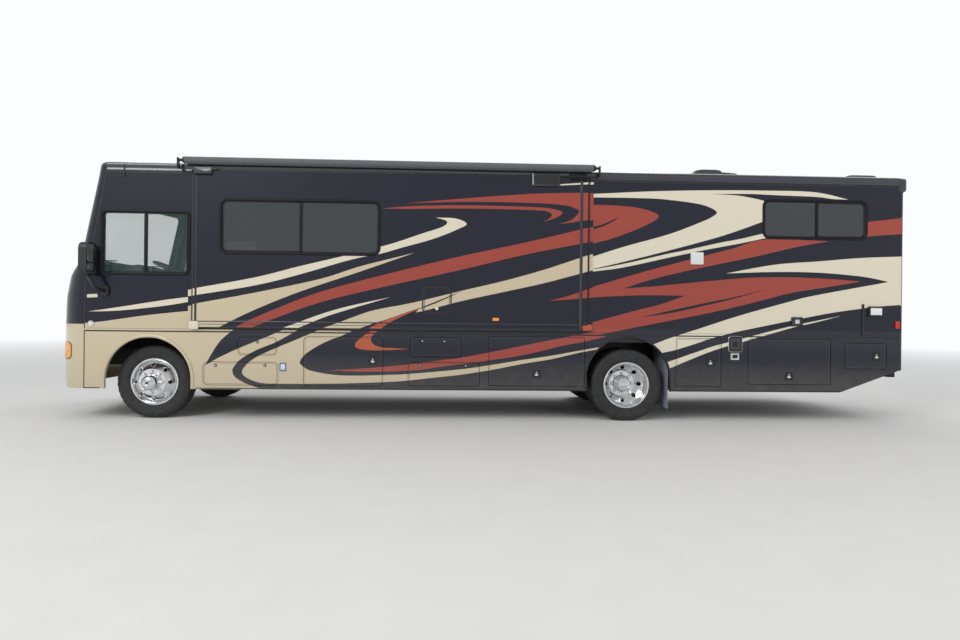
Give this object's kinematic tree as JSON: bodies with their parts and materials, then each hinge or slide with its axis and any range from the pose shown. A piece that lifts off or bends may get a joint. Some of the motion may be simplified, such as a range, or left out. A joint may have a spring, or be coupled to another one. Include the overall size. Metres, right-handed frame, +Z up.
{
  "type": "motorhome",
  "caption": "Flat-fronted touring motorhome on a truck chassis with a slide-out room, entry door, lockers under the floor and twin rear wheels.",
  "frame": {"origin": "middle of the footprint on the ground the tyres stand on", "axes": "+X to the rear along the vehicle, +Y to the kerb side (vehicle's right), +Z up; the front faces -X"},
  "size_m": [11.4, 3.098, 3.613],
  "materials": {
    "body_paint": "gloss clear coat with painted sweeps",
    "cap_paint": "gloss",
    "roof_skin": "moulded sheet",
    "window_glass": "tinted",
    "screen_glass": "clear green tint",
    "tyre": "worn tread",
    "wheel_steel": "polished stainless covers",
    "chassis_black": "painted black",
    "tank_plastic": "moulded",
    "exhaust_steel": "heat stained",
    "floor_board": "plywood sandwich",
    "bay_sheet": "bare sheet",
    "lamp_lens": "lens",
    "black_trim": "moulded",
    "ladder_tube": "brushed tube",
    "awning_cloth": "rolled sheet",
    "step_metal": "ribbed",
    "dash_plastic": "grained",
    "seat_leather": "sewn",
    "flap_rubber": "sheet",
    "bumper_steel": "satin",
    "unit_plastic": "moulded",
    "room_shell": "gloss clear coat with painted sweeps"
  },
  "bodies": {
    "root": {"frame_rails": "chassis_black", "cross_members": "chassis_black", "drivetrain": "chassis_black", "exhaust": "exhaust_steel", "tanks": "tank_plastic", "front_axle": "chassis_black", "rear_axle": "chassis_black", "floor": "floor_board", "left_wall": "body_paint", "right_wall": "body_paint", "rear_wall": "body_paint", "front_cap": "cap_paint", "roof": "roof_skin", "windscreen": "screen_glass", "left_skirt": "body_paint", "right_skirt": "body_paint", "bay_floors": "bay_sheet", "bay_backs": "bay_sheet", "bay_dividers": "bay_sheet", "side_windows": "window_glass", "lamps": "lamp_lens", "grille": "black_trim", "mirrors": "black_trim", "roof_units": "unit_plastic", "ladder": "ladder_tube", "patio_awning": "awning_cloth", "dashboard": "dash_plastic", "cab_seats": "seat_leather", "entry_steps": "step_metal", "mud_flaps": "flap_rubber", "rear_bumper": "bumper_steel"},
    "knuckle_left": {"knuckle_left": "chassis_black"},
    "front_wheel_left": {"front_rim_left": "wheel_steel", "front_tyre_left": "tyre"},
    "rear_wheel_left": {"rear_rims_left": "wheel_steel", "rear_tyres_left": "tyre"},
    "knuckle_right": {"knuckle_right": "chassis_black"},
    "front_wheel_right": {"front_rim_right": "wheel_steel", "front_tyre_right": "tyre"},
    "rear_wheel_right": {"rear_rims_right": "wheel_steel", "rear_tyres_right": "tyre"},
    "slide_out": {"slide_room": "room_shell", "slide_window": "window_glass", "slide_topper": "awning_cloth"},
    "entry": {"entry_door": "body_paint", "entry_window": "window_glass"},
    "hood_lid": {"hood": "cap_paint"},
    "utility_hatch_left_body": {"utility_hatch_left": "body_paint"},
    "locker_door_left_1_body": {"locker_door_left_1": "body_paint"},
    "locker_door_left_2_body": {"locker_door_left_2": "body_paint"},
    "service_hatch_left_body": {"service_hatch_left": "body_paint"},
    "locker_door_left_3_body": {"locker_door_left_3": "body_paint"},
    "locker_door_left_4_body": {"locker_door_left_4": "body_paint"},
    "locker_door_left_5_body": {"locker_door_left_5": "body_paint"},
    "locker_door_left_6_body": {"locker_door_left_6": "body_paint"},
    "locker_door_left_7_body": {"locker_door_left_7": "body_paint"},
    "locker_door_right_1_body": {"locker_door_right_1": "body_paint"},
    "locker_door_right_2_body": {"locker_door_right_2": "body_paint"},
    "locker_door_right_3_body": {"locker_door_right_3": "body_paint"}
  },
  "joints": [
    {"name": "steer_left", "type": "hinge", "parent": "root", "child": "knuckle_left", "pos_m": [-4.317, -0.903, 0.473], "axis": [0, 0, 1], "range_deg": [-40, 40]},
    {"name": "front_roll_left", "type": "hinge", "parent": "knuckle_left", "child": "front_wheel_left", "pos_m": [-4.317, -1.033, 0.473], "axis": [0, 1, 0], "continuous": true},
    {"name": "rear_roll_left", "type": "hinge", "parent": "root", "child": "rear_wheel_left", "pos_m": [1.86, -1.123, 0.473], "axis": [0, 1, 0], "continuous": true},
    {"name": "steer_right", "type": "hinge", "parent": "root", "child": "knuckle_right", "pos_m": [-4.317, 0.903, 0.473], "axis": [0, 0, 1], "range_deg": [-40, 40]},
    {"name": "front_roll_right", "type": "hinge", "parent": "knuckle_right", "child": "front_wheel_right", "pos_m": [-4.317, 1.033, 0.473], "axis": [0, 1, 0], "continuous": true},
    {"name": "rear_roll_right", "type": "hinge", "parent": "root", "child": "rear_wheel_right", "pos_m": [1.86, 1.123, 0.473], "axis": [0, 1, 0], "continuous": true},
    {"name": "slide_travel", "type": "slide", "parent": "root", "child": "slide_out", "axis": [0, -1, 0], "range_m": [0, 0.76]},
    {"name": "entry_hinge", "type": "hinge", "parent": "root", "child": "entry", "pos_m": [-3.544, 1.289, 1.7], "axis": [0, 0, 1], "range_deg": [0, 105]},
    {"name": "hood_hinge", "type": "hinge", "parent": "root", "child": "hood_lid", "pos_m": [-5.654, 0, 1.594], "axis": [0, 1, 0], "range_deg": [0, 75]},
    {"name": "utility_hatch_left_hinge", "type": "hinge", "parent": "root", "child": "utility_hatch_left_body", "pos_m": [-2.9475, -1.289, 0.843], "axis": [1, 0, 0], "range_deg": [0, 90]},
    {"name": "locker_door_left_1_hinge", "type": "hinge", "parent": "root", "child": "locker_door_left_1_body", "pos_m": [-3.1555, -1.289, 0.455], "axis": [1, 0, 0], "range_deg": [0, 90]},
    {"name": "locker_door_left_2_hinge", "type": "hinge", "parent": "root", "child": "locker_door_left_2_body", "pos_m": [-2.355, -1.289, 0.764], "axis": [0, 0, -1], "range_deg": [0, 95]},
    {"name": "service_hatch_left_hinge", "type": "hinge", "parent": "root", "child": "service_hatch_left_body", "pos_m": [-0.667, -1.289, 0.836], "axis": [1, 0, 0], "range_deg": [0, 90]},
    {"name": "locker_door_left_3_hinge", "type": "hinge", "parent": "root", "child": "locker_door_left_3_body", "pos_m": [-0.5555, -1.289, 0.458], "axis": [1, 0, 0], "range_deg": [0, 90]},
    {"name": "locker_door_left_4_hinge", "type": "hinge", "parent": "root", "child": "locker_door_left_4_body", "pos_m": [0.6535, -1.289, 1.102], "axis": [-1, 0, 0], "range_deg": [0, 88]},
    {"name": "locker_door_left_5_hinge", "type": "hinge", "parent": "root", "child": "locker_door_left_5_body", "pos_m": [2.501, -1.289, 0.7885], "axis": [0, 0, -1], "range_deg": [0, 95]},
    {"name": "locker_door_left_6_hinge", "type": "hinge", "parent": "root", "child": "locker_door_left_6_body", "pos_m": [4.027, -1.289, 1.1], "axis": [-1, 0, 0], "range_deg": [0, 88]},
    {"name": "locker_door_left_7_hinge", "type": "hinge", "parent": "root", "child": "locker_door_left_7_body", "pos_m": [4.79, -1.289, 0.8855], "axis": [0, 0, -1], "range_deg": [0, 95]},
    {"name": "locker_door_right_1_hinge", "type": "hinge", "parent": "root", "child": "locker_door_right_1_body", "pos_m": [-2.355, 1.289, 0.764], "axis": [0, 0, 1], "range_deg": [0, 95]},
    {"name": "locker_door_right_2_hinge", "type": "hinge", "parent": "root", "child": "locker_door_right_2_body", "pos_m": [0.6535, 1.289, 1.102], "axis": [1, 0, 0], "range_deg": [0, 88]},
    {"name": "locker_door_right_3_hinge", "type": "hinge", "parent": "root", "child": "locker_door_right_3_body", "pos_m": [4.027, 1.289, 1.1], "axis": [1, 0, 0], "range_deg": [0, 88]}
  ],
  "couplings": [
    {"joint": "steer_right", "follows": "steer_left", "ratio": 1}
  ]
}
